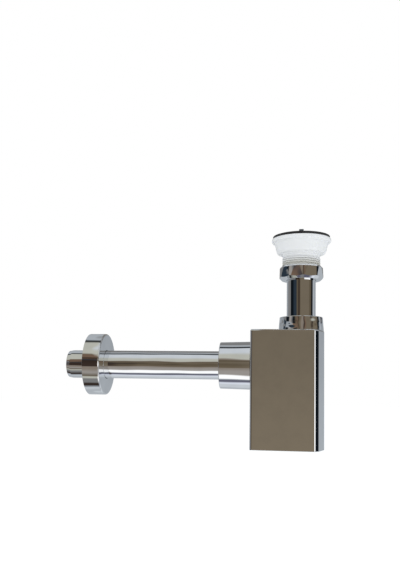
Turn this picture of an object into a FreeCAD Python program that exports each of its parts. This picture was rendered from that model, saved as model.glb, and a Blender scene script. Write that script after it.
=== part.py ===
import FreeCAD, Part
import math
import os

# Basin waste and rectangular bottle trap with a wall tube, in millimetres.
# Origin: centre of the plane on which the waste's steel flange seats on the basin.
# Z is up, the wall is along -X, and the inlet tube's axis is the Z axis.

# Clearances
seat_gap = 0.3          # between pieces that seat on each other
thread_gap = 0.3        # radial, between a thread's crest and the nut's bore
tube_gap = 0.05         # radial, between a tube and the rubber or plastic ring that slides on it
wall_gap = 0.4          # radial, between a tube and the metal it only passes through
fixed_gap = 0.05        # between pieces that are moulded or pressed together

# Pipe thread shared by the neck and the two spigots: G 1 1/4
thread_radius = 20.95

# Tubes
tube_radius = 16.0
tube_wall = 1.2
tube_chamfer = 0.5

# Basin waste: steel flange and strainer
flange_radius = 31.0
flange_sheet = 0.9
flange_crown = 0.7      # height of the crown above the flat outer band
flange_band = 26.5      # radius where the flat outer band ends
dish_mouth = 20.2       # inner radius of the dish at its mouth
dish_floor = 16.6       # inner radius of the dish at its floor
dish_depth = 9.0
dish_bend = 2.2
strainer_hole = 4.15
strainer_circle = 11.2
strainer_holes = 6

# Strainer screw and its brass insert
screw_radius = 2.95
screw_length = 22.0
screw_head_radius = 5.0
screw_head_height = 2.3
slot_width = 1.2
slot_depth = 1.1
insert_radius = 4.2
insert_length = 12.0

# Gasket
gasket_radius = 31.3
gasket_inner = 24.0
gasket_thickness = 2.2

# White waste body
lip_radius = 32.9
lip_thickness = 3.9
lip_round = 1.6
cup_top_radius = 29.6
cup_low_radius = 26.6
cup_depth = 18.9        # from the lip's top to the cup's shoulder
cup_round = 3.6
cup_wall = 2.6
neck_length = 19.9      # from the shoulder to the neck's lower end
neck_bore = 18.0
boss_radius = 6.4
boss_length = 24.0
web_thickness = 2.2
web_margin = 2.0        # of the webs' ends from the boss's foot and the cup's floor
web_count = 4

# Rubber plug, its ear and its wire ring
plug_top = 1.2          # height of the plug's upper face above the basin seat
plug_thickness = 9.2
plug_recess_radius = 12.0
plug_recess_depth = 4.6
plug_round = 0.8
ear_height = 10.0       # top of the ear above the basin seat
ear_width = 10.0
ear_thickness = 5.0
ear_root_radius = 6.0
ear_root_height = 1.0
ear_hole_radius = 1.3
ear_hole_drop = 4.0     # below the top of the ear
ring_radius = 6.5
ring_wire = 0.6

# Coupling nut with flats
nut_flats = 10
nut_turn = 5.0          # degrees from +X to the middle of one flat
nut_apothem = 23.76
nut_low_radius = 24.6
nut_high_radius = 23.87
nut_top_chamfer = 2.7
nut_low_chamfer = 3.0
nut_web = 2.7
nut_thread_length = 8.5 # of the neck inside the nut

# Coupling washer and the tailpipe's flare
washer_thickness = 2.6
washer_inner = 15.4
flare_radius = 19.4
flare_thickness = 1.5
tailpipe_length = 95.0

# Trap body
inlet_to_box = 105.7    # basin seat down to the top of the box
box_width = 80.0
box_depth = 60.0
box_height = 130.0
box_right = 25.0        # inlet axis to the box's right side
box_corner = 2.2        # rounding of the upright edges
box_top_edge = 1.9      # rounding of the top rim
box_low_edge = 0.5      # rounding of the bottom rim
box_bevel = 4.2         # 45 degree bevel at the front and back ends of the right side
box_bevel_round = 2.5
box_taper_width = 6.6   # right side's slanted faces, seen from above: along x
box_taper_depth = 18.1  # and along y
box_wall = 3.0
top_to_wall_axis = 38.8
partition_wall = 3.0
partition_clear = 2.5   # between the tailpipe and the partition
partition_rise = 19.2   # gap under the partition, above the box's lowest face
spigot_bore_gap = 0.5

# Collar nuts
inlet_nut_length = 15.1
inlet_nut_low_radius = 25.0
inlet_nut_high_radius = 23.7
outlet_nut_length = 34.6
outlet_nut_low_radius = 26.9
outlet_nut_high_radius = 26.1
collar_lip = 3.0
collar_round = 0.7
slip_ring_thickness = 1.8
cone_seal_flange = 1.5
cone_seal_depth = 3.6
cone_seal_step = 2.6    # how much wider the seal's top is than its toe

# Wall tube and rosette
wall_tube_inner_end = -50.0
wall_tube_outer_end = -266.0
tube_swage_length = 4.5 # drawn-in end that starts the tube in the drain's seal
tube_swage_step = 0.9
tube_swage_wall = 0.8
rosette_face = -221.8
rosette_depth = 19.3
rosette_radius = 35.0
rosette_sheet = 1.2
rosette_round = 1.6
rosette_hub_length = 7.0
rosette_hub_wall = 2.6
rosette_ring_radius = 1.2

# Clean-out plug in the floor of the box
base_plug_radius = 18.0
base_flange_radius = 21.3
base_flange_thickness = 2.4
base_seal_thickness = 1.2
base_thread_length = 4.0
base_boss_wall = 3.4
base_plug_wall = 3.0
base_slot_length = 24.0
base_slot_width = 2.6
base_slot_depth = 1.3

# Places that follow from the sizes
lip_top = -gasket_thickness
shoulder = lip_top - cup_depth
neck_end = shoulder - neck_length
washer_top = neck_end - seat_gap
flare_top = washer_top - washer_thickness - seat_gap
nut_web_top = flare_top - flare_thickness - seat_gap
nut_bottom = nut_web_top - nut_web
nut_top = neck_end + nut_thread_length
box_top = -inlet_to_box
box_bottom = box_top - box_height
box_left = box_right - box_width
wall_axis = box_top - top_to_wall_axis
spigot_bore = tube_radius + spigot_bore_gap
nut_bore = thread_radius + thread_gap
base_recess = base_flange_thickness + base_seal_thickness + 2 * seat_gap

z_axis = FreeCAD.Vector(0, 0, 1)
x_axis = FreeCAD.Vector(1, 0, 0)
y_axis = FreeCAD.Vector(0, 1, 0)
origin = FreeCAD.Vector(0, 0, 0)


def outline(corners):
    """Closed wire in the XZ plane through (x, z, rounding) corners."""
    points = [FreeCAD.Vector(x, 0, z) for x, z, _ in corners]
    count = len(points)
    starts = []
    for i, (_, _, rounding) in enumerate(corners):
        here = points[i]
        back = points[i - 1] - here
        ahead = points[(i + 1) % count] - here
        if rounding <= 0:
            starts.append((here, None, here))
            continue
        half = back.getAngle(ahead) / 2
        reach = min(rounding / math.tan(half), 0.48 * min(back.Length, ahead.Length))
        radius = reach * math.tan(half)
        back.normalize()
        ahead.normalize()
        middle = back + ahead
        middle.normalize()
        crown = here + middle * (radius / math.sin(half) - radius)
        starts.append((here + back * reach, crown, here + ahead * reach))
    edges = []
    for i in range(count):
        first, crown, last = starts[i]
        if crown is not None:
            edges.append(Part.Arc(first, crown, last).toShape())
        following = starts[(i + 1) % count][0]
        if (following - last).Length > 1e-6:
            edges.append(Part.LineSegment(last, following).toShape())
    return Part.Wire(edges)


def turned(corners):
    """Solid of revolution about the Z axis from (radius, height, rounding) corners."""
    return Part.Face(outline(corners)).revolve(origin, z_axis, 360)


def tube(outer, inner, low, high):
    """Plain ring or tube on the Z axis."""
    return turned([(inner, low, 0), (outer, low, 0), (outer, high, 0), (inner, high, 0)])


def rod(radius, low, high, x=0.0, y=0.0):
    """Plain rod parallel to the Z axis."""
    return Part.makeCylinder(radius, high - low, FreeCAD.Vector(x, y, low), z_axis)


def block(width, depth, low, high, x=0.0, y=0.0):
    """Box centred on x, y between two heights."""
    corner = FreeCAD.Vector(x - width / 2, y - depth / 2, low)
    return Part.makeBox(width, depth, high - low, corner)


def to_outlet(shape):
    """Turns a piece built along +Z so that it points to the wall from the box's left side."""
    placed = shape.copy()
    placed.rotate(origin, y_axis, -90)
    placed.translate(FreeCAD.Vector(box_left, 0, wall_axis))
    return placed


def box_block(inset, low, high):
    """Upright block with the trap body's plan, moved inwards by a wall's thickness."""
    left = box_left + inset
    right = box_right - inset
    half = box_depth / 2 - inset
    bevel_end = right - box_taper_width
    bevel_start = bevel_end - box_bevel
    taper_start = half - box_bevel
    side_half = taper_start - box_taper_depth
    plan = outline([
        (left, -half, box_corner),
        (bevel_start, -half, box_bevel_round),
        (bevel_end, -taper_start, box_corner),
        (right, -side_half, box_corner),
        (right, side_half, box_corner),
        (bevel_end, taper_start, box_corner),
        (bevel_start, half, box_bevel_round),
        (left, half, box_corner)])
    plan.rotate(origin, x_axis, 90)
    plan.translate(FreeCAD.Vector(0, 0, low))
    return Part.Face(plan).extrude(FreeCAD.Vector(0, 0, high - low))


# Steel flange: flat band, crown, bend and conical dish, one pressed sheet
def make_strainer_flange():
    sheet = flange_sheet
    crown = sheet + flange_crown
    floor = -dish_depth
    bend = dish_bend
    outer_mouth = dish_mouth + sheet
    profile = [
        (0, floor - sheet, 0),
        (dish_floor + sheet, floor - sheet, bend),
        (outer_mouth, 0, 0),
        (flange_radius, 0, 0.3),
        (flange_radius, sheet, 0.5),
        (flange_band, crown, 3.0),
        (dish_mouth, crown, bend),
        (dish_floor, floor, bend - sheet),
        (0, floor, 0)]
    flange = turned(profile)
    cutter = rod(screw_radius + seat_gap, floor - 2 * sheet, floor + sheet)
    for i in range(strainer_holes):
        angle = math.radians(90 + 360 * i / strainer_holes)
        x = strainer_circle * math.cos(angle)
        y = strainer_circle * math.sin(angle)
        cutter = cutter.fuse(rod(strainer_hole, floor - 2 * sheet, floor + sheet, x, y))
    return flange.cut(cutter)


# Slotted screw with a domed head that clamps the strainer to the insert
def make_strainer_screw():
    seat = -dish_depth
    top = seat + screw_head_height
    low = seat - screw_length
    screw = turned([
        (0, low, 0),
        (screw_radius, low, 0.6),
        (screw_radius, seat, 0),
        (screw_head_radius, seat, 0),
        (screw_head_radius, top, 0.85 * screw_head_height),
        (0, top, 0)])
    slot = block(slot_width, 3 * screw_head_radius, top - slot_depth, top + 1)
    return screw.cut(slot)


# Brass insert moulded into the white body's middle boss
def make_screw_insert():
    top = -dish_depth - flange_sheet - 2 * seat_gap
    return tube(insert_radius, screw_radius + fixed_gap, top - insert_length, top)


def make_flange_gasket():
    low = -gasket_thickness
    return turned([
        (gasket_inner, low, 0),
        (gasket_radius, low, 0.4),
        (gasket_radius, 0, 0.4),
        (gasket_inner, 0, 0)])


# White body: lip, tapering cup, shoulder and threaded neck in one moulding
def make_waste_body():
    lip_low = lip_top - lip_thickness
    floor = shoulder + cup_wall
    return turned([
        (neck_bore, neck_end, 0),
        (thread_radius, neck_end, 0.8),
        (thread_radius, shoulder, 1.5),
        (cup_low_radius, shoulder, cup_round),
        (cup_top_radius, lip_low - 2.0, 0),
        (cup_top_radius + 0.4, lip_low, 1.5),
        (lip_radius, lip_low, lip_round),
        (lip_radius, lip_top, 0.8),
        (cup_top_radius - cup_wall, lip_top, 0.5),
        (cup_low_radius - cup_wall, floor, 2.5),
        (neck_bore, floor - 1.2, 1.0)])


# Bridge pressed into the neck: a boss on four webs, which holds the strainer screw's insert
def make_strainer_bridge():
    boss_top = -dish_depth - flange_sheet - seat_gap
    boss_low = boss_top - boss_length
    web_low = boss_low + web_margin
    web_top = shoulder + cup_wall - web_margin
    bridge = rod(boss_radius, boss_low, boss_top)
    bore = rod(neck_bore - fixed_gap, web_low, web_top)
    for i in range(web_count // 2):
        web = block(2 * neck_bore + 1.0, web_thickness, web_low, web_top)
        web.rotate(origin, z_axis, 45 + 360 * i / web_count)
        bridge = bridge.fuse(web.common(bore))
    pocket_top = boss_top + 1
    insert_end = boss_top - seat_gap - insert_length
    pocket = rod(insert_radius + fixed_gap, insert_end - fixed_gap, pocket_top)
    relief = rod(screw_radius + thread_gap, boss_low - 1, pocket_top)
    return bridge.cut(pocket).cut(relief)


# Radius of the dish's inner wall at a height
def dish_radius(height):
    crown = flange_sheet + flange_crown
    share = (height + dish_depth) / (crown + dish_depth)
    return dish_floor + share * (dish_mouth - dish_floor)


# Rubber plug: cone that seats in the dish, hollow below, with an ear for the ring
def make_plug():
    low = plug_top - plug_thickness
    top_radius = dish_radius(plug_top) - seat_gap
    low_radius = dish_radius(low) - seat_gap
    hollow = low + plug_recess_depth
    body = turned([
        (0, hollow, 0),
        (plug_recess_radius, hollow, 1.0),
        (plug_recess_radius, low, 0),
        (low_radius, low, plug_round),
        (top_radius, plug_top, plug_round),
        (ear_root_radius, plug_top, 0.6),
        (ear_root_radius - 0.8, plug_top + ear_root_height, 0.4),
        (0, plug_top + ear_root_height, 0)])
    half = ear_width / 2
    ear = block(ear_thickness, ear_width, plug_top, ear_height - half)
    crown = Part.makeCylinder(half, ear_thickness,
                              FreeCAD.Vector(-ear_thickness / 2, 0, ear_height - half), x_axis)
    hole = Part.makeCylinder(ear_hole_radius, 2 * ear_thickness,
                             FreeCAD.Vector(-ear_thickness, 0, ear_height - ear_hole_drop), x_axis)
    return body.fuse(ear).fuse(crown).removeSplitter().cut(hole)


# Wire ring through the ear, folded back until it lies just above the plug
def make_plug_ring():
    pivot = ear_height - ear_hole_drop
    drop = pivot - plug_top - seat_gap - ring_wire
    tilt = math.degrees(math.asin(drop / (2 * ring_radius)))
    ring = Part.makeTorus(ring_radius, ring_wire, FreeCAD.Vector(0, ring_radius, pivot), z_axis)
    ring.rotate(FreeCAD.Vector(0, 0, pivot), x_axis, -tilt)
    return ring


# Union nut: turned blank with a slight cone and chamfers, trimmed to ten flats
def make_coupling_nut():
    blank = turned([
        (tube_radius + wall_gap, nut_bottom, 0),
        (nut_low_radius - nut_low_chamfer, nut_bottom, 0.4),
        (nut_low_radius, nut_bottom + nut_low_chamfer, 0),
        (nut_high_radius, nut_top - nut_top_chamfer, 0),
        (nut_high_radius - nut_top_chamfer, nut_top, 0.3),
        (nut_bore, nut_top, 0),
        (nut_bore, nut_web_top, 0),
        (tube_radius + wall_gap, nut_web_top, 0)])
    corner_radius = nut_apothem / math.cos(math.pi / nut_flats)
    corners = []
    for i in range(nut_flats + 1):
        angle = math.radians(nut_turn) + math.pi * (2 * i + 1) / nut_flats
        corners.append(FreeCAD.Vector(corner_radius * math.cos(angle),
                                      corner_radius * math.sin(angle), nut_bottom - 1))
    prism = Part.Face(Part.makePolygon(corners)).extrude(FreeCAD.Vector(0, 0, nut_top - nut_bottom + 2))
    return blank.common(prism)


def make_coupling_washer():
    return tube(thread_radius - seat_gap, washer_inner,
                washer_top - washer_thickness, washer_top)


# Tailpipe with a flared upper end that hangs in the union nut
def make_tailpipe():
    inner = tube_radius - tube_wall
    low = flare_top - tailpipe_length
    return turned([
        (inner, low, 0),
        (tube_radius, low, tube_chamfer),
        (tube_radius, flare_top - flare_thickness, 0.2),
        (flare_radius, flare_top - flare_thickness, 0),
        (flare_radius, flare_top, 0.5),
        (inner, flare_top, 0.6)])


# Heights inside a collar nut of a given length, counted from the face it stands on
def collar_levels(nut_length):
    top = seat_gap + nut_length
    ring_top = top - collar_lip - seat_gap
    ring_low = ring_top - slip_ring_thickness
    seal_top = ring_low - seat_gap
    seal_low = seal_top - cone_seal_flange
    spigot_end = seal_low - seat_gap
    return top, ring_top, ring_low, seal_top, seal_low, spigot_end


def make_collar_nut(nut_length, low_radius, high_radius):
    top = collar_levels(nut_length)[0]
    return turned([
        (nut_bore, seat_gap, 0),
        (low_radius, seat_gap, 0.3),
        (high_radius, top, collar_round),
        (tube_radius + wall_gap, top, 0.4),
        (tube_radius + wall_gap, top - collar_lip, 0),
        (nut_bore, top - collar_lip, 0)])


def make_slip_ring(nut_length):
    _, ring_top, ring_low, _, _, _ = collar_levels(nut_length)
    return tube(thread_radius, tube_radius + tube_gap, ring_low, ring_top)


# Conical seal: a flange on the spigot's end and a cone that is squeezed into its mouth
def make_cone_seal(nut_length):
    _, _, _, seal_top, seal_low, spigot_end = collar_levels(nut_length)
    inner = tube_radius + tube_gap
    return turned([
        (inner, spigot_end - cone_seal_depth, 0),
        (inner + 0.6, spigot_end - cone_seal_depth, 0),
        (inner + cone_seal_step, spigot_end - seat_gap, 0),
        (inner + cone_seal_step, seal_low, 0),
        (thread_radius - seat_gap, seal_low, 0.3),
        (thread_radius - seat_gap, seal_top, 0.3),
        (inner, seal_top, 0)])


# Mouth of a spigot: bore with a cone for the seal
def spigot_mouth(nut_length, depth):
    spigot_end = collar_levels(nut_length)[5]
    inner = tube_radius + tube_gap
    cone_low = spigot_end - cone_seal_depth - seat_gap
    return turned([
        (0, -depth, 0),
        (spigot_bore, -depth, 0),
        (spigot_bore, cone_low, 0),
        (inner + 0.6 + seat_gap, cone_low, 0),
        (inner + cone_seal_step + seat_gap, spigot_end - seat_gap, 0),
        (inner + cone_seal_step + seat_gap, spigot_end + 1, 0),
        (0, spigot_end + 1, 0)])


def spigot(nut_length, depth):
    spigot_end = collar_levels(nut_length)[5]
    return turned([
        (0, -depth, 0),
        (thread_radius, -depth, 0),
        (thread_radius, spigot_end, 0.8),
        (0, spigot_end, 0)])


# Box with a partition that makes the water seal, two spigots and a threaded clean-out boss
def make_trap_body():
    middle = box_right - box_width / 2
    shell = box_block(0, box_bottom, box_top)
    for height, rounding in ((box_top, box_top_edge), (box_bottom, box_low_edge)):
        rim = [e for e in shell.Edges
               if e.BoundBox.ZLength < 1e-6 and abs(e.Vertexes[0].Z - height) < 1e-6]
        shell = shell.makeFillet(rounding, rim)
    room = box_block(box_wall, box_bottom + box_wall, box_top - box_wall)
    partition_x = -(tube_radius + partition_clear + partition_wall / 2)
    partition = block(partition_wall, box_depth,
                      box_bottom + partition_rise, box_top, partition_x)
    recess_top = box_bottom + base_recess
    boss_top = recess_top + base_thread_length
    boss = rod(base_flange_radius + seat_gap + base_boss_wall, box_bottom, boss_top, middle)
    room = room.cut(partition).cut(boss)
    body = shell.cut(room)
    inlet = spigot(inlet_nut_length, box_wall)
    inlet.translate(FreeCAD.Vector(0, 0, box_top))
    outlet = to_outlet(spigot(outlet_nut_length, box_wall))
    body = body.fuse(inlet).fuse(outlet)
    inlet_way = spigot_mouth(inlet_nut_length, box_wall + 0.5)
    inlet_way.translate(FreeCAD.Vector(0, 0, box_top))
    outlet_way = to_outlet(spigot_mouth(outlet_nut_length, box_wall + 0.5))
    recess = rod(base_flange_radius + seat_gap, box_bottom - 1, recess_top, middle)
    hole = rod(base_plug_radius + thread_gap, box_bottom - 1, boss_top + 1, middle)
    return body.cut(inlet_way).cut(outlet_way).cut(recess).cut(hole)


# Clean-out plug: flange flush with the floor, hollow threaded cup above, coin slot below
def make_base_plug():
    middle = box_right - box_width / 2
    flange_top = box_bottom + base_flange_thickness
    cup_top = box_bottom + base_recess + base_thread_length
    plug = turned([
        (0, box_bottom, 0),
        (base_flange_radius, box_bottom, 0.5),
        (base_flange_radius, flange_top, 0),
        (base_plug_radius, flange_top, 0),
        (base_plug_radius, cup_top, 0.6),
        (base_plug_radius - base_plug_wall, cup_top, 0.6),
        (base_plug_radius - base_plug_wall, flange_top, 1.0),
        (0, flange_top, 0)])
    slot = block(base_slot_length, base_slot_width, box_bottom - 1, box_bottom + base_slot_depth)
    plug = plug.cut(slot)
    plug.translate(FreeCAD.Vector(middle, 0, 0))
    return plug


def make_base_seal():
    low = box_bottom + base_flange_thickness + seat_gap
    seal = tube(base_flange_radius - seat_gap, base_plug_radius + tube_gap,
                low, low + base_seal_thickness)
    seal.translate(FreeCAD.Vector(box_right - box_width / 2, 0, 0))
    return seal


# Straight wall tube, chamfered in the box and drawn in at the wall end
def make_wall_tube():
    inner = tube_radius - tube_wall
    low = box_left - wall_tube_inner_end
    high = box_left - wall_tube_outer_end
    swage_radius = tube_radius - tube_swage_step
    return to_outlet(turned([
        (inner, low, 0),
        (tube_radius, low, tube_chamfer),
        (tube_radius, high - tube_swage_length, 5.0),
        (swage_radius, high, 0.3),
        (swage_radius - tube_swage_wall, high, 0),
        (inner, high - tube_swage_length, 0)]))


# Rosette: spun drum, open to the wall, with a hub that holds the ring round the tube
def make_rosette():
    face = box_left - rosette_face
    back = face + rosette_depth
    bore = tube_radius + wall_gap
    hub = bore + rosette_hub_wall
    groove_middle = face + rosette_hub_length / 2
    groove_half = rosette_ring_radius + 0.1
    groove_radius = tube_radius + tube_gap + 2 * rosette_ring_radius + 0.1
    inside = face + rosette_sheet
    return to_outlet(turned([
        (bore, face, 0.3),
        (rosette_radius, face, rosette_round),
        (rosette_radius, back, 0.2),
        (rosette_radius - rosette_sheet, back, 0.2),
        (rosette_radius - rosette_sheet, inside, 0.4),
        (hub, inside, 0.4),
        (hub, face + rosette_hub_length, 0.3),
        (bore, face + rosette_hub_length, 0),
        (bore, groove_middle + groove_half, 0),
        (groove_radius, groove_middle + groove_half, 0),
        (groove_radius, groove_middle - groove_half, 0),
        (bore, groove_middle - groove_half, 0)]))


# Rubber ring in the rosette's hub, which grips the tube
def make_rosette_seal():
    middle = box_left - rosette_face + rosette_hub_length / 2
    radius = tube_radius + tube_gap + rosette_ring_radius
    return to_outlet(Part.makeTorus(radius, rosette_ring_radius,
                                    FreeCAD.Vector(0, 0, middle), z_axis))


def on_box(shape):
    """Lifts a collar piece from the origin to the top of the box."""
    placed = shape.copy()
    placed.translate(FreeCAD.Vector(0, 0, box_top))
    return placed


pieces = {
    "strainer_flange": make_strainer_flange(),
    "strainer_screw": make_strainer_screw(),
    "screw_insert": make_screw_insert(),
    "flange_gasket": make_flange_gasket(),
    "waste_body": make_waste_body(),
    "strainer_bridge": make_strainer_bridge(),
    "plug": make_plug(),
    "plug_ring": make_plug_ring(),
    "coupling_nut": make_coupling_nut(),
    "coupling_washer": make_coupling_washer(),
    "tailpipe": make_tailpipe(),
    "inlet_nut": on_box(make_collar_nut(inlet_nut_length, inlet_nut_low_radius,
                                        inlet_nut_high_radius)),
    "inlet_slip_ring": on_box(make_slip_ring(inlet_nut_length)),
    "inlet_seal": on_box(make_cone_seal(inlet_nut_length)),
    "trap_body": make_trap_body(),
    "base_plug": make_base_plug(),
    "base_seal": make_base_seal(),
    "outlet_nut": to_outlet(make_collar_nut(outlet_nut_length, outlet_nut_low_radius,
                                            outlet_nut_high_radius)),
    "outlet_slip_ring": to_outlet(make_slip_ring(outlet_nut_length)),
    "outlet_seal": to_outlet(make_cone_seal(outlet_nut_length)),
    "wall_tube": make_wall_tube(),
    "rosette": make_rosette(),
    "rosette_seal": make_rosette_seal(),
}

os.makedirs("parts", exist_ok=True)
for name, shape in pieces.items():
    shape.exportStep("parts/" + name + ".step")
    box = shape.BoundBox
    print(name, len(shape.Solids), shape.isValid(), round(shape.Volume / 1000, 2), "cm3",
          [round(v, 1) for v in (box.XMin, box.XMax, box.YMin, box.YMax, box.ZMin, box.ZMax)])
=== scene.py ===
import math

import bmesh
import bpy
from mathutils import Matrix, Vector


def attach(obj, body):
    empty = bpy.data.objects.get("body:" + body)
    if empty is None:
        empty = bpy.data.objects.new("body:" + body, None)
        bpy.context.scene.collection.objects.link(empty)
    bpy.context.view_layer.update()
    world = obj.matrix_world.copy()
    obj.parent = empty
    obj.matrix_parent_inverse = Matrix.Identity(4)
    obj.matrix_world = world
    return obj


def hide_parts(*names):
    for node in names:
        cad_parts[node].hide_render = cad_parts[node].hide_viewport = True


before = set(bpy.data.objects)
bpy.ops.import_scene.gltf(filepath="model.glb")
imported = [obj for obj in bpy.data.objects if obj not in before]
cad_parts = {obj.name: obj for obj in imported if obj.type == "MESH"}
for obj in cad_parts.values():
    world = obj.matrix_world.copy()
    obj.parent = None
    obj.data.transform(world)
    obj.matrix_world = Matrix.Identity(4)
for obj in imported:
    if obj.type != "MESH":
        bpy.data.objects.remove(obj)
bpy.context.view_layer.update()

print("frame loaded:", len(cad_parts), "nodes")

scene = bpy.context.scene
scene.view_settings.view_transform = "Standard"


# Small helpers for shader and geometry trees

def feed(tree, node, **inputs):
    # gives inputs plain values or other nodes' sockets; Base_Color is "Base Color", and at3 is input number 3
    for name, value in inputs.items():
        socket = node.inputs[int(name[2:]) if name.startswith("at") else name.replace("_", " ")]
        if isinstance(value, bpy.types.NodeSocket):
            tree.links.new(value, socket)
        else:
            socket.default_value = value


def putNode(tree, kind, settings=None, **inputs):
    node = tree.nodes.new(kind)
    for name, value in (settings or {}).items():
        setattr(node, name, value)
    feed(tree, node, **inputs)
    return node


def calc(tree, operation, first, second=0.0, third=0.0):
    node = putNode(tree, "ShaderNodeMath", {"operation": operation}, at0=first, at1=second, at2=third)
    return node.outputs[0]


def colourRamp(tree, factor, stops):
    ramp = putNode(tree, "ShaderNodeValToRGB", at0=factor)
    stopList = ramp.color_ramp.elements
    while len(stopList) < len(stops):
        stopList.new(0.5)
    for element, (place, colour) in zip(stopList, sorted(stops)):
        element.position = place
        element.color = (*colour, 1.0)
    return ramp.outputs[0]


def mixColour(tree, factor, *colours):
    first, second = (c if isinstance(c, bpy.types.NodeSocket) else (*c, 1.0) for c in colours)
    node = putNode(tree, "ShaderNodeMix", {"data_type": "RGBA"}, at0=factor, at6=first, at7=second)
    return node.outputs[2]


def mapRange(tree, value, fromLow, fromHigh, toLow=0.0, toHigh=1.0, smooth=False):
    node = putNode(tree, "ShaderNodeMapRange", {"interpolation_type": "SMOOTHSTEP" if smooth else "LINEAR"},
                   at0=value, at1=fromLow, at2=fromHigh, at3=toLow, at4=toHigh)
    return node.outputs[0]


# Materials. Texture sizes are in features per metre, heights in metres

def startMaterial(name, metallic=0.0):
    material = bpy.data.materials.new(name)
    material.use_nodes = True
    tree = material.node_tree
    shader = tree.nodes["Principled BSDF"]
    shader.inputs["Metallic"].default_value = metallic
    place = tree.nodes.new("ShaderNodeTexCoord").outputs["Object"]
    return material, tree, shader, place


def stretchedNoise(tree, place, size, stretch=(1, 1, 1), detail=3.0, roughness=0.5):
    mapped = putNode(tree, "ShaderNodeMapping", Vector=place, Scale=stretch)
    noise = putNode(tree, "ShaderNodeTexNoise", Vector=mapped.outputs[0], Scale=size, Detail=detail,
                    Roughness=roughness)
    return noise.outputs[0]


def addBump(tree, shader, height, strength, distance, previous=None):
    bump = putNode(tree, "ShaderNodeBump", Height=height, Strength=strength, Distance=distance)
    if previous is not None:
        feed(tree, bump, Normal=previous.outputs[0])
    feed(tree, shader, Normal=bump.outputs[0])
    return bump


# Bright plating: almost a mirror. Drawn tubes and cast nuts are a little wavy under it, which bends
# what they mirror
chromeLook = {
    "plateColour": (0.80, 0.81, 0.82),
    "hazeColour": (0.75, 0.76, 0.775),
    "hazeSize": 60.0,
    "smearSize": 240.0,
    "smearStretch": (1.0, 1.0, 0.25),
    "smoothest": 0.004,
    "dullest": 0.018,
    "grainSize": 900.0,
    "grainHeight": 0.0000002,
}
waveLooks = {      # stretch is along each axis: less than 1 makes the waves longer that way
    "chromeUpright": {"size": 30.0, "stretch": (1.0, 1.0, 0.45), "height": 0.0018},
    "chromeAcross": {"size": 34.0, "stretch": (0.5, 1.0, 1.0), "height": 0.0018},
    "chromeOutletCollar": {"size": 46.0, "stretch": (0.22, 1.0, 1.0), "height": 0.0026},
    "chromeInletCollar": {"size": 70.0, "stretch": (1.0, 1.0, 1.0), "height": 0.0016},
    "chromeCastNut": {"size": 60.0, "stretch": (1.0, 1.0, 1.0), "height": 0.0003},
    "chromeBox": {"size": 20.0, "stretch": (1.0, 1.0, 0.6), "height": 0.00004},
}


def makeChrome(name, look, wave):
    material, tree, shader, place = startMaterial(name, metallic=1.0)
    haze = stretchedNoise(tree, place, look["hazeSize"], detail=5.0, roughness=0.62)
    smear = stretchedNoise(tree, place, look["smearSize"], look["smearStretch"], detail=4.0)
    tone = mapRange(tree, haze, 0.35, 0.75, smooth=True)
    smeared = calc(tree, "MULTIPLY", haze, smear)
    dull = mapRange(tree, smeared, 0.15, 0.5, look["smoothest"], look["dullest"], True)
    plate = mixColour(tree, tone, look["plateColour"], look["hazeColour"])
    feed(tree, shader, Base_Color=plate, Roughness=dull)
    waves = stretchedNoise(tree, place, wave["size"], wave["stretch"], detail=1.0, roughness=0.3)
    grain = stretchedNoise(tree, place, look["grainSize"], detail=2.0)
    first = addBump(tree, shader, waves, 1.0, wave["height"])
    addBump(tree, shader, grain, 1.0, look["grainHeight"], first)
    return material


# Pressed stainless sheet, turned after pressing: fine rings round the axis, with a soft cloud in the tone
stainlessLook = {
    "brightColour": (0.66, 0.65, 0.62),
    "darkColour": (0.50, 0.49, 0.47),
    "ringsPerMetre": 5200.0,
    "changeRound": 0.7,       # how much a ring changes on its way round, and with height
    "changeUp": 900.0,
    "cloudSize": 55.0,
    "cloudShare": 0.3,
    "smoothest": 0.22,
    "dullest": 0.38,
    "ringHeight": 0.000006,
}


def makeTurnedSteel(name, look):
    material, tree, shader, place = startMaterial(name, metallic=1.0)
    x, y, z = putNode(tree, "ShaderNodeSeparateXYZ", at0=place).outputs
    flat = putNode(tree, "ShaderNodeCombineXYZ", at0=x, at1=y)
    length = putNode(tree, "ShaderNodeVectorMath", {"operation": "LENGTH"}, at0=flat.outputs[0])
    radius = length.outputs["Value"]
    angle = calc(tree, "ARCTAN2", y, x)
    along = putNode(tree, "ShaderNodeCombineXYZ", at0=calc(tree, "MULTIPLY", radius, look["ringsPerMetre"]),
                    at1=calc(tree, "MULTIPLY", angle, look["changeRound"]),
                    at2=calc(tree, "MULTIPLY", z, look["changeUp"]))
    rings = putNode(tree, "ShaderNodeTexNoise", Vector=along.outputs[0], Scale=1.0, Detail=3.0).outputs[0]
    cloud = stretchedNoise(tree, place, look["cloudSize"])
    tone = calc(tree, "ADD", calc(tree, "MULTIPLY", rings, 1.0 - look["cloudShare"]),
                calc(tree, "MULTIPLY", cloud, look["cloudShare"]))
    bright = mapRange(tree, tone, 0.3, 0.7)
    feed(tree, shader, Base_Color=mixColour(tree, bright, look["darkColour"], look["brightColour"]),
         Roughness=mapRange(tree, tone, 0.3, 0.7, look["dullest"], look["smoothest"]))
    addBump(tree, shader, rings, 0.6, look["ringHeight"])
    return material


# Bright drawn wire: light scratches along the drawing direction
wireLook = {
    "wireColour": (0.72, 0.72, 0.71),
    "scratchColour": (0.55, 0.55, 0.55),
    "scratchSize": 1400.0,
    "scratchStretch": (1.0, 0.15, 1.0),
    "smoothest": 0.16,
    "dullest": 0.34,
    "scratchHeight": 0.000004,
}


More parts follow.
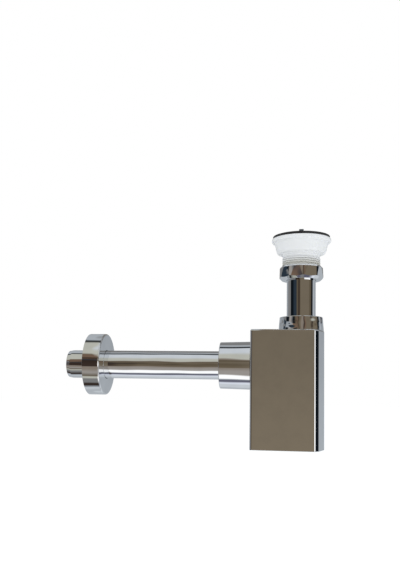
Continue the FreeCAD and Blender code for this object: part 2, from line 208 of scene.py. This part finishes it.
def makeWire(name, look):
    material, tree, shader, place = startMaterial(name, metallic=1.0)
    scratch = stretchedNoise(tree, place, look["scratchSize"], look["scratchStretch"], detail=4.0)
    tone = mapRange(tree, scratch, 0.4, 0.65)
    feed(tree, shader, Base_Color=mixColour(tree, tone, look["wireColour"], look["scratchColour"]),
         Roughness=mapRange(tree, scratch, 0.3, 0.7, look["smoothest"], look["dullest"]))
    addBump(tree, shader, scratch, 0.5, look["scratchHeight"])
    return material


# White moulding: slight gloss, a very fine mould texture and a little light inside the plastic
whiteLook = {
    "plasticColour": (0.86, 0.875, 0.885),
    "shadeColour": (0.84, 0.855, 0.865),
    "cloudSize": 45.0,
    "neckShadeColour": (0.60, 0.595, 0.54),      # painted shade low on the neck, darker towards the nut
    "neckShadeFrom": -0.0225,
    "neckShadeTo": -0.0335,
    "neckShadeUneven": 0.004,
    "glossiest": 0.28,
    "dullest": 0.42,
    "mouldSize": 1500.0,
    "mouldHeight": 0.00001,
    "lightInside": 0.12,
    "lightReach": (0.004, 0.004, 0.0035),
}


def makeWhitePlastic(name, look):
    material, tree, shader, place = startMaterial(name)
    cloud = stretchedNoise(tree, place, look["cloudSize"], detail=4.0)
    pores = stretchedNoise(tree, place, look["mouldSize"], detail=2.0)
    shade = mapRange(tree, cloud, 0.35, 0.7, smooth=True)
    plain = mixColour(tree, shade, look["plasticColour"], look["shadeColour"])
    # painted shade: the plastic's colour darkens low on the neck towards the nut, with an uneven upper edge
    height = putNode(tree, "ShaderNodeSeparateXYZ", at0=place).outputs[2]
    uneven = calc(tree, "MULTIPLY_ADD", calc(tree, "SUBTRACT", cloud, 0.5), look["neckShadeUneven"], height)
    neckShade = mapRange(tree, uneven, look["neckShadeFrom"], look["neckShadeTo"], smooth=True)
    feed(tree, shader, Base_Color=mixColour(tree, neckShade, plain, look["neckShadeColour"]),
         Roughness=mapRange(tree, pores, 0.3, 0.7, look["glossiest"], look["dullest"]),
         Subsurface_Weight=look["lightInside"], Subsurface_Radius=look["lightReach"], Subsurface_Scale=0.5)
    addBump(tree, shader, pores, 0.35, look["mouldHeight"])
    return material


# Rubber: matt, with a mould's fine texture and a pale bloom in places
sealLook = {
    "rubberColour": (0.012, 0.012, 0.013), "bloomColour": (0.028, 0.028, 0.030), "bloomSize": 120.0,
    "bloomShare": 0.65, "dullest": 0.62, "glossiest": 0.42, "textureSize": 1100.0, "textureHeight": 0.00002,
}
plugLook = {
    "rubberColour": (0.055, 0.066, 0.080), "bloomColour": (0.105, 0.122, 0.140), "bloomSize": 120.0,
    "bloomShare": 0.65, "dullest": 0.72, "glossiest": 0.50, "textureSize": 800.0, "textureHeight": 0.00003,
}


def makeRubber(name, look):
    material, tree, shader, place = startMaterial(name)
    bloom = stretchedNoise(tree, place, look["bloomSize"], detail=5.0, roughness=0.65)
    texture = stretchedNoise(tree, place, look["textureSize"], detail=3.0)
    mixed = calc(tree, "ADD", calc(tree, "MULTIPLY", bloom, look["bloomShare"]),
                 calc(tree, "MULTIPLY", texture, 1.0 - look["bloomShare"]))
    tone = mapRange(tree, mixed, 0.4, 0.66, smooth=True)
    feed(tree, shader, Base_Color=mixColour(tree, tone, look["rubberColour"], look["bloomColour"]),
         Roughness=mapRange(tree, bloom, 0.3, 0.7, look["glossiest"], look["dullest"]))
    addBump(tree, shader, texture, 0.5, look["textureHeight"])
    return material


# Turned brass insert
brassLook = {
    "brassColour": (0.72, 0.55, 0.27),
    "tarnishColour": (0.50, 0.35, 0.16),
    "tarnishSize": 300.0,
    "ringSize": 2600.0,
    "ringStretch": (0.1, 0.1, 1.0),
    "ringHeight": 0.000008,
    "smoothest": 0.22,
    "dullest": 0.42,
}


def makeBrass(name, look):
    material, tree, shader, place = startMaterial(name, metallic=1.0)
    tarnish = stretchedNoise(tree, place, look["tarnishSize"], detail=4.0)
    rings = stretchedNoise(tree, place, look["ringSize"], look["ringStretch"], detail=2.0)
    tone = mapRange(tree, tarnish, 0.4, 0.7)
    feed(tree, shader, Base_Color=mixColour(tree, tone, look["brassColour"], look["tarnishColour"]),
         Roughness=mapRange(tree, tarnish, 0.3, 0.7, look["smoothest"], look["dullest"]))
    addBump(tree, shader, rings, 0.5, look["ringHeight"])
    return material


chrome = {name: makeChrome(name, chromeLook, wave) for name, wave in waveLooks.items()}
turnedSteel = makeTurnedSteel("turnedStainless", stainlessLook)
wireSteel = makeWire("drawnWire", wireLook)
whitePlastic = makeWhitePlastic("whiteMoulding", whiteLook)
blackRubber = makeRubber("blackRubber", sealLook)
plugRubber = makeRubber("plugRubber", plugLook)
brass = makeBrass("turnedBrass", brassLook)
print("materials made")

finishOfNode = {
    "strainer_flange": turnedSteel, "strainer_screw": turnedSteel, "screw_insert": brass,
    "flange_gasket": blackRubber, "waste_body": whitePlastic, "strainer_bridge": whitePlastic,
    "plug": plugRubber, "plug_ring": wireSteel,
    "coupling_nut": chrome["chromeCastNut"], "coupling_washer": blackRubber,
    "tailpipe": chrome["chromeUpright"],
    "inlet_nut": chrome["chromeInletCollar"], "inlet_slip_ring": whitePlastic, "inlet_seal": blackRubber,
    "trap_body": chrome["chromeBox"], "base_plug": chrome["chromeBox"], "base_seal": blackRubber,
    "outlet_nut": chrome["chromeOutletCollar"], "outlet_slip_ring": whitePlastic, "outlet_seal": blackRubber,
    "wall_tube": chrome["chromeAcross"], "rosette": chrome["chromeAcross"], "rosette_seal": blackRubber,
}
for name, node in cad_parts.items():
    node.data.materials.clear()
    node.data.materials.append(finishOfNode[name])


# The white waste body, with the thread that the nut screws on

wasteSizes = {
    "lipTop": -0.0022, "lipThickness": 0.0039, "lipRadius": 0.0329,
    "cupTopRadius": 0.0296, "cupLowRadius": 0.0266, "cupDepth": 0.0170, "cupWall": 0.0026,
    "neckLength": 0.0218, "neckBore": 0.018, "crestRadius": 0.02095, "threadDepth": 0.00125,
    "threadPitch": 0.002309, "threadSink": 0.0001, "crestWidth": 0.0008, "rootWidth": 0.0019,
    "threadGapBelow": 0.0012, "threadGaps": 0.0014, "threadFade": 0.04,      # the fade is a share of the thread
    "plainCollar": 0.0041, "collarStep": 0.0009, "collarInset": 0.0003, "boreDip": 0.0012, "segments": 160,
}


def roundedProfile(corners, steps=7):
    # points (radius, height) along a closed outline whose corners are (radius, height, rounding)
    points = []
    count = len(corners)
    for i, (x, z, rounding) in enumerate(corners):
        here = Vector((x, z))
        back = Vector(corners[i - 1][:2]) - here
        ahead = Vector(corners[(i + 1) % count][:2]) - here
        if rounding <= 0:
            points.append(here)
            continue
        half = back.angle(ahead) / 2
        reach = min(rounding / math.tan(half), 0.48 * min(back.length, ahead.length))
        radius = reach * math.tan(half)
        middle = (back.normalized() + ahead.normalized()).normalized()
        centre = here + middle * (radius / math.sin(half))
        start = here + back.normalized() * reach - centre
        end = here + ahead.normalized() * reach - centre
        sweep = start.angle_signed(end)
        for k in range(steps + 1):
            turn = Matrix.Rotation(-sweep * k / steps, 2)
            points.append(centre + turn @ start)
    return points


def turnProfile(name, points, segments):
    # closed ring-shaped solid: the outline turned round the Z axis
    body = bmesh.new()
    rings = []
    for k in range(segments):
        angle = 2 * math.pi * k / segments
        rings.append([body.verts.new((p.x * math.cos(angle), p.x * math.sin(angle), p.y)) for p in points])
    for k in range(segments):
        ring, following = rings[k], rings[(k + 1) % segments]
        for i in range(len(points)):
            j = (i + 1) % len(points)
            body.faces.new((ring[i], ring[j], following[j], following[i]))
    bmesh.ops.recalc_face_normals(body, faces=body.faces)
    mesh = bpy.data.meshes.new(name)
    body.to_mesh(mesh)
    body.free()
    return mesh


def showPiece(name, mesh, material, body, replaced):
    piece = bpy.data.objects.new(name, mesh)
    scene.collection.objects.link(piece)
    mesh.materials.clear()
    mesh.materials.append(material)
    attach(piece, body)
    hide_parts(*replaced)


def shadeSmooth(mesh, sharpAngle):
    mesh.shade_smooth()
    mesh.set_sharp_from_angle(angle=math.radians(sharpAngle))


def makeWasteShell(sizes):
    lipLow = sizes["lipTop"] - sizes["lipThickness"]
    shoulder = sizes["lipTop"] - sizes["cupDepth"]
    floor = shoulder + sizes["cupWall"]
    neckEnd = shoulder - sizes["neckLength"]
    root = sizes["crestRadius"] - sizes["threadDepth"]
    threadTop = shoulder - sizes["plainCollar"]
    collar = sizes["crestRadius"] - sizes["collarInset"]
    corners = [      # radius, height and rounding
        (sizes["neckBore"], neckEnd, 0.0003), (root, neckEnd, 0.0004),
        (root, threadTop, 0.0003), (collar, threadTop + sizes["collarStep"], 0.0003),
        (collar, shoulder, 0.0013),
        (sizes["cupLowRadius"], shoulder, 0.0036), (sizes["cupTopRadius"], lipLow - 0.002, 0.004),
        (sizes["cupTopRadius"] + 0.0004, lipLow, 0.0015), (sizes["lipRadius"], lipLow, 0.0016),
        (sizes["lipRadius"], sizes["lipTop"], 0.0008),
        (sizes["cupTopRadius"] - sizes["cupWall"], sizes["lipTop"], 0.0005),
        (sizes["cupLowRadius"] - sizes["cupWall"], floor, 0.0025),
        (sizes["neckBore"], floor - sizes["boreDip"], 0.001)]
    mesh = turnProfile("wasteShell", roundedProfile(corners), sizes["segments"])
    shadeSmooth(mesh, 60)
    return mesh, neckEnd, threadTop


# Thread: a helical ridge that fades out at both ends, joined to the turned shell
def threadTree(finish):
    tree = bpy.data.node_groups.new("neckThread", "GeometryNodeTree")
    sockets = {}
    tree.interface.new_socket("Shell", in_out="INPUT", socket_type="NodeSocketGeometry")
    for name in ("Pitch", "Crest Radius", "Depth", "Crest Width", "Root Width", "Low", "Length", "Fade"):
        socket = tree.interface.new_socket(name, in_out="INPUT", socket_type="NodeSocketFloat")
        sockets[name] = socket.identifier
    tree.interface.new_socket("Threaded", in_out="OUTPUT", socket_type="NodeSocketGeometry")
    given = tree.nodes.new("NodeGroupInput").outputs
    middle = calc(tree, "MULTIPLY_ADD", given["Depth"], -0.5, given["Crest Radius"])
    turns = calc(tree, "DIVIDE", given["Length"], given["Pitch"])
    helix = putNode(tree, "GeometryNodeCurveSpiral", Resolution=72, Rotations=turns,
                    Start_Radius=middle, End_Radius=middle, Height=given["Length"])
    lift = putNode(tree, "ShaderNodeCombineXYZ", at2=given["Low"])
    placed = putNode(tree, "GeometryNodeTransform", Geometry=helix.outputs[0], Translation=lift.outputs[0])
    upright = putNode(tree, "GeometryNodeSetCurveNormal", {"mode": "Z_UP"}, Curve=placed.outputs[0])
    along = tree.nodes.new("GeometryNodeSplineParameter").outputs["Factor"]
    nearest = calc(tree, "MINIMUM", along, calc(tree, "SUBTRACT", 1.0, along))
    size = mapRange(tree, nearest, 0.0, given["Fade"], 0.05, 1.0, True)
    ridge = putNode(tree, "GeometryNodeCurvePrimitiveQuadrilateral", {"mode": "TRAPEZOID"},
                    Height=given["Depth"], Bottom_Width=given["Root Width"], Top_Width=given["Crest Width"],
                    Offset=0.0)
    swept = putNode(tree, "GeometryNodeCurveToMesh", Curve=upright.outputs[0], Profile_Curve=ridge.outputs[0],
                    Scale=size, Fill_Caps=True)
    joined = tree.nodes.new("GeometryNodeJoinGeometry")
    tree.links.new(swept.outputs[0], joined.inputs[0])
    tree.links.new(given["Shell"], joined.inputs[0])
    real = putNode(tree, "GeometryNodeRealizeInstances", Geometry=joined.outputs[0])
    coloured = putNode(tree, "GeometryNodeSetMaterial", Geometry=real.outputs[0], Material=finish)
    tree.links.new(coloured.outputs[0], tree.nodes.new("NodeGroupOutput").inputs[0])
    return tree, sockets


def evaluatedMesh(name, mesh, tree, sockets, values):
    # runs a geometry tree on a mesh and returns the plain mesh it makes
    blank = bpy.data.objects.new(name, mesh)
    scene.collection.objects.link(blank)
    modifier = blank.modifiers.new(name, "NODES")
    modifier.node_group = tree
    for label, value in values.items():
        modifier[sockets[label]] = value
    graph = bpy.context.evaluated_depsgraph_get()
    made = bpy.data.meshes.new_from_object(blank.evaluated_get(graph))
    blank.modifiers.clear()
    bpy.data.objects.remove(blank)
    made.name = name
    return made


shellMesh, neckEnd, threadTop = makeWasteShell(wasteSizes)
neckTree, neckSockets = threadTree(whitePlastic)
wasteMesh = evaluatedMesh("wasteShell", shellMesh, neckTree, neckSockets, {
    "Pitch": wasteSizes["threadPitch"], "Crest Radius": wasteSizes["crestRadius"],
    "Depth": wasteSizes["threadDepth"] + wasteSizes["threadSink"],
    "Crest Width": wasteSizes["crestWidth"], "Root Width": wasteSizes["rootWidth"],
    "Low": neckEnd + wasteSizes["threadGapBelow"],
    "Length": threadTop - neckEnd - wasteSizes["threadGaps"], "Fade": wasteSizes["threadFade"]})
showPiece("wasteShell", wasteMesh, whitePlastic, "waste", ["waste_body"])
print("waste body turned:", len(wasteMesh.polygons), "faces")


# Black gasket: a flat ring with a lip that stands up round the steel flange

gasketSizes = {
    "inner": 0.024, "outer": 0.03165, "low": -0.0022, "seat": -0.0001,
    "lipTop": 0.0007, "lipInner": 0.03115, "segments": 160,
}


def makeGasket(sizes):
    corners = [
        (sizes["inner"], sizes["low"], 0.0003), (sizes["outer"], sizes["low"], 0.0006),
        (sizes["outer"], sizes["lipTop"], 0.0003), (sizes["lipInner"], sizes["lipTop"], 0.0002),
        (sizes["lipInner"], sizes["seat"], 0.0001), (sizes["inner"], sizes["seat"], 0.0003)]
    mesh = turnProfile("gasketRing", roundedProfile(corners, 5), sizes["segments"])
    shadeSmooth(mesh, 60)
    return mesh


showPiece("gasketRing", makeGasket(gasketSizes), blackRubber, "waste", ["flange_gasket"])
print("gasket turned")


# Camera at the photograph's angle

cameraSet = {
    "place": (-0.0150, -0.7204, -0.1656),
    "yaw": -7.80, "pitch": 3.89, "roll": 0.79,     # degrees
    "focalPixels": 640.0, "photoHeight": 570.0, "axisRow": 340.3,
}


def placeCamera(setting):
    data = bpy.data.cameras.new("photoCamera")
    camera = bpy.data.objects.new("photoCamera", data)
    scene.collection.objects.link(camera)
    yaw, pitch, roll = (math.radians(setting[k]) for k in ("yaw", "pitch", "roll"))
    level = math.cos(pitch)
    forward = Vector((math.sin(yaw) * level, math.cos(yaw) * level, math.sin(pitch)))
    right = Vector((math.cos(yaw), -math.sin(yaw), 0.0))
    up = right.cross(forward)
    rolledRight = math.cos(roll) * right + math.sin(roll) * up
    rolledUp = -math.sin(roll) * right + math.cos(roll) * up
    turn = Matrix((rolledRight, rolledUp, -forward)).transposed().to_4x4()
    camera.matrix_world = Matrix.Translation(setting["place"]) @ turn
    data.sensor_width = 36.0
    data.lens = setting["focalPixels"] / setting["photoHeight"] * data.sensor_width
    data.shift_y = (setting["axisRow"] - setting["photoHeight"] / 2) / setting["photoHeight"]
    data.clip_start = 0.02
    data.clip_end = 50.0
    scene.camera = camera


placeCamera(cameraSet)


# Studio: white floor and dome, soft light, and what the plating mirrors

studioSet = {
    "floorHeight": -0.40, "floorSize": 14.0, "floorGlow": 0.40,
    "floorColour": (0.90, 0.90, 0.90), "speckleColour": (0.92, 0.92, 0.92),
    "seenColour": (1.0, 1.0, 1.0), "domeTop": (0.70, 0.72, 0.74), "domeLow": (0.62, 0.62, 0.61),
    "mirrorGain": 1.25,
}


def makeFloor(setting):
    body = bmesh.new()
    bmesh.ops.create_grid(body, x_segments=8, y_segments=8, size=setting["floorSize"] / 2)
    mesh = bpy.data.meshes.new("paleFloor")
    body.to_mesh(mesh)
    body.free()
    floor = bpy.data.objects.new("paleFloor", mesh)
    scene.collection.objects.link(floor)
    floor.location.z = setting["floorHeight"]
    material, tree, shader, place = startMaterial("paleFloor")
    speckle = stretchedNoise(tree, place, 30.0)
    feed(tree, shader, Base_Color=mixColour(tree, speckle, setting["floorColour"], setting["speckleColour"]),
         Roughness=0.9, Emission_Color=(1.0, 1.0, 1.0, 1.0), Emission_Strength=setting["floorGlow"])
    mesh.materials.append(material)
    floor.visible_glossy = False


makeFloor(studioSet)


def toLinear(tone):
    return tuple((c / 255 / 12.92) if c <= 10.31 else ((c / 255 + 0.055) / 1.055) ** 2.4 for c in tone)


# The studio that only the plating mirrors: screens, walls and furniture in a few plain paints (0 to 255)
paints = {
    "white": (255, 255, 255), "frost": (220, 225, 235), "cloud": (195, 200, 205), "mist": (170, 175, 180),
    "paleGrey": (150, 155, 160), "midGrey": (120, 120, 120), "warmGrey": (150, 145, 140),
    "sand": (180, 180, 170), "clay": (130, 120, 110), "taupe": (110, 100, 85), "tan": (110, 90, 75),
    "umber": (90, 80, 65), "walnut": (50, 40, 35), "mauve": (90, 90, 105), "slate": (40, 50, 60),
    "navy": (30, 35, 50), "ink": (15, 20, 25),
}

# Each panel is (from, to, paint) in degrees and fades into the next one. The first four lists go round the
# horizon from the camera's side (0) to the right (+); the last two go over the top (+) or under (-)
studioPanels = {
    "low": [      # below 5 degrees: the box, and the middle of the tubes
        (-180, -130, "paleGrey"), (-80, -50, "midGrey"), (-40, -16, "walnut"), (-13, -8, "umber"),
        (-3, 24, "taupe"), (26, 70, "white"), (76, 104, "ink"), (112, 128, "mist"), (138, 180, "paleGrey"),
    ],
    "wall": [      # 6 to 9 degrees: the inlet tube
        (-180, -132, "paleGrey"), (-122, -92, "midGrey"), (-87, -66, "ink"), (-54, -39, "slate"),
        (-30, -26, "umber"), (-19, -15, "walnut"), (-10, -10, "umber"), (-4, 62, "taupe"),
        (70, 80, "umber"), (85, 96, "ink"), (106, 115, "mist"), (124, 180, "paleGrey"),
    ],
    "nut": [      # 9 to 12 degrees: the flats of the coupling nut
        (-180, -150, "midGrey"), (-112, -112, "paleGrey"), (-101, -91, "slate"), (-86, -60, "paleGrey"),
        (-44, -44, "warmGrey"), (-38, -26, "tan"), (-23, -18, "slate"), (-12, -12, "umber"),
        (-4, 51, "taupe"), (52.5, 57, "white"), (59, 66, "taupe"), (80, 80, "umber"), (96, 96, "slate"),
        (106, 121, "mist"), (125, 140, "navy"), (146, 180, "midGrey"),
    ],
    "band": [      # 12 to 20 degrees: the inlet collar
        (-180, -93, "midGrey"), (-87, -74, "ink"), (-66, -54, "warmGrey"), (-48, -48, "midGrey"),
        (-38, -33, "ink"), (-28, -28, "umber"), (-20.5, -20.5, "tan"), (-17.5, -17.5, "walnut"),
        (-15, -15, "umber"), (-6, -6, "taupe"), (1, 5, "clay"), (10, 10, "walnut"), (15, 15, "tan"),
        (24, 48, "taupe"), (57, 57, "walnut"), (66, 84, "taupe"), (90, 99, "ink"), (116, 116, "mist"),
        (128, 180, "midGrey"),
    ],
    "over": [      # high over the tubes and low under them
        (-180, -142, "mist"), (-128, -110, "cloud"), (-99, -99, "frost"), (-87, -80, "mauve"),
        (-73, -73, "paleGrey"), (-69, -49, "white"), (-42, -28, "warmGrey"), (-14, -14, "clay"),
        (18, 23, "umber"), (27, 27, "clay"), (31, 47, "sand"), (62, 90, "cloud"), (92.5, 99, "ink"),
        (109, 111, "mist"), (121, 146, "midGrey"), (180, 180, "mist"),
    ],
    "farLeft": [      # the same, as the drum and the tube's end on the far left mirror it
        (-180, -121, "mist"), (-107, -107, "cloud"), (-100, -100, "paleGrey"), (-89, -79, "walnut"),
        (-71, -56, "midGrey"), (-52, -47, "sand"), (-43, -43, "umber"), (-32, -32, "warmGrey"),
        (-22, -15, "clay"), (-12, 20, "walnut"), (24, 34, "tan"), (36, 36, "taupe"), (41, 89, "sand"),
        (98, 101, "ink"), (108, 108, "mist"), (180, 180, "paleGrey"),
    ],
}


def painted(tree, factor, panels):
    # a colour ramp with one stop at each edge of a panel; a panel of no width is one stop, and a ramp holds 32
    edges = [(edge / 360 + 0.5, toLinear(paints[paint]))
             for first, last, paint in panels for edge in {first, last}]
    return colourRamp(tree, factor, edges)


def heightMask(tree, z, limits):
    return mapRange(tree, z, *(math.sin(math.radians(limit)) for limit in limits), smooth=True)


# Where the lists take over from each other: heights in degrees, and sideways parts of a direction of length 1
panelLimits = {
    "wall": (5.2, 5.8), "nut": (9.0, 9.5), "band": (11.6, 12.6), "over": (17, 21), "under": (-11, -14),
    "farLeft": (-0.279, -0.286), "boxLeft": (-0.046, -0.038), "boxRight": (0.12, 0.18),
    "overBox": (0, 10), "underBox": (-63, -66), "boxFoot": (5, -6),
}
worldLook = {"wobbleSize": 2.6, "wobble": 0.03, "footGain": 0.2, "underBoxShare": 0.85}


def makeSurroundings(setting, look, limits):
    world = bpy.data.worlds.new("studio")
    scene.world = world
    world.use_nodes = True
    tree = world.node_tree
    tree.nodes.clear()
    output = tree.nodes.new("ShaderNodeOutputWorld")
    direction = tree.nodes.new("ShaderNodeTexCoord").outputs["Generated"]

    # edges of the panels are a little uneven
    wobble = putNode(tree, "ShaderNodeTexNoise", Vector=direction, Scale=look["wobbleSize"], Detail=2.0)
    reach = look["wobble"]
    shift = putNode(tree, "ShaderNodeVectorMath", {"operation": "MULTIPLY_ADD"}, at0=wobble.outputs["Color"],
                    at1=(reach, reach, 0.0), at2=direction)
    centred = putNode(tree, "ShaderNodeVectorMath", {"operation": "SUBTRACT"}, at0=shift.outputs[0],
                      at1=(reach / 2, reach / 2, 0.0))
    x, y, z = putNode(tree, "ShaderNodeSeparateXYZ", at0=centred.outputs[0]).outputs
    front = calc(tree, "MULTIPLY", y, -1.0)
    around, over = (calc(tree, "MULTIPLY_ADD", calc(tree, "ARCTAN2", side, front), 0.5 / math.pi, 0.5)
                    for side in (x, z))

    # round the horizon; the lowest list is brighter at the foot of the box
    lower = calc(tree, "MULTIPLY_ADD", heightMask(tree, z, limits["boxFoot"]), look["footGain"], 1.0)
    low = painted(tree, around, studioPanels["low"])
    rings = putNode(tree, "ShaderNodeVectorMath", {"operation": "SCALE"}, at0=low, Scale=lower).outputs[0]
    for name in ("wall", "nut", "band"):
        ring = painted(tree, around, studioPanels[name])
        rings = mixColour(tree, heightMask(tree, z, limits[name]), rings, ring)

    # over the top and under, with nothing bright over or under the box itself
    farLeft = mapRange(tree, x, *limits["farLeft"])
    high = mixColour(tree, farLeft, painted(tree, over, studioPanels["over"]),
                     painted(tree, over, studioPanels["farLeft"]))
    beside = calc(tree, "MULTIPLY", mapRange(tree, x, *limits["boxLeft"]),
                  mapRange(tree, x, *limits["boxRight"], 1.0, 0.0))
    overBox = calc(tree, "MULTIPLY", beside, heightMask(tree, z, limits["overBox"]))
    high = mixColour(tree, overBox, high, toLinear(paints["taupe"]))
    dimmed = calc(tree, "MULTIPLY", heightMask(tree, z, limits["underBox"]), look["underBoxShare"])
    high = mixColour(tree, calc(tree, "MULTIPLY", beside, dimmed), high, toLinear(paints["midGrey"]))
    away = calc(tree, "MAXIMUM", heightMask(tree, z, limits["over"]), heightMask(tree, z, limits["under"]))
    mirrored = mixColour(tree, away, rings, high)

    # a plain soft dome lights the piece, and the camera sees white
    upward = mapRange(tree, z, -0.3, 0.7, smooth=True)
    dome = mixColour(tree, upward, setting["domeLow"], setting["domeTop"])
    rays = tree.nodes.new("ShaderNodeLightPath").outputs
    seen = mixColour(tree, rays["Is Camera Ray"], dome, setting["seenColour"])
    both = mixColour(tree, rays["Is Glossy Ray"], seen, mirrored)
    gain = calc(tree, "MULTIPLY_ADD", rays["Is Glossy Ray"], setting["mirrorGain"] - 1.0, 1.0)
    background = putNode(tree, "ShaderNodeBackground", Color=both, Strength=gain)
    tree.links.new(background.outputs[0], output.inputs[0])


makeSurroundings(studioSet, worldLook, panelLimits)

lampTarget = Vector((-0.05, 0.0, -0.12))
lightSet = [
    {"name": "softKey", "place": (-0.9, -1.3, 1.3), "size": 1.4, "power": 3.0},
    {"name": "softFill", "place": (1.2, -0.9, 0.4), "size": 1.2, "power": 1.4},
]
for setting in lightSet:
    data = bpy.data.lights.new(setting["name"], "AREA")
    data.size = setting["size"]
    data.energy = setting["power"]
    lamp = bpy.data.objects.new(setting["name"], data)
    scene.collection.objects.link(lamp)
    lamp.location = setting["place"]
    lamp.rotation_euler = (lampTarget - lamp.location).to_track_quat("-Z", "Y").to_euler()
    lamp.visible_glossy = False
    lamp.visible_camera = False
print("studio set")
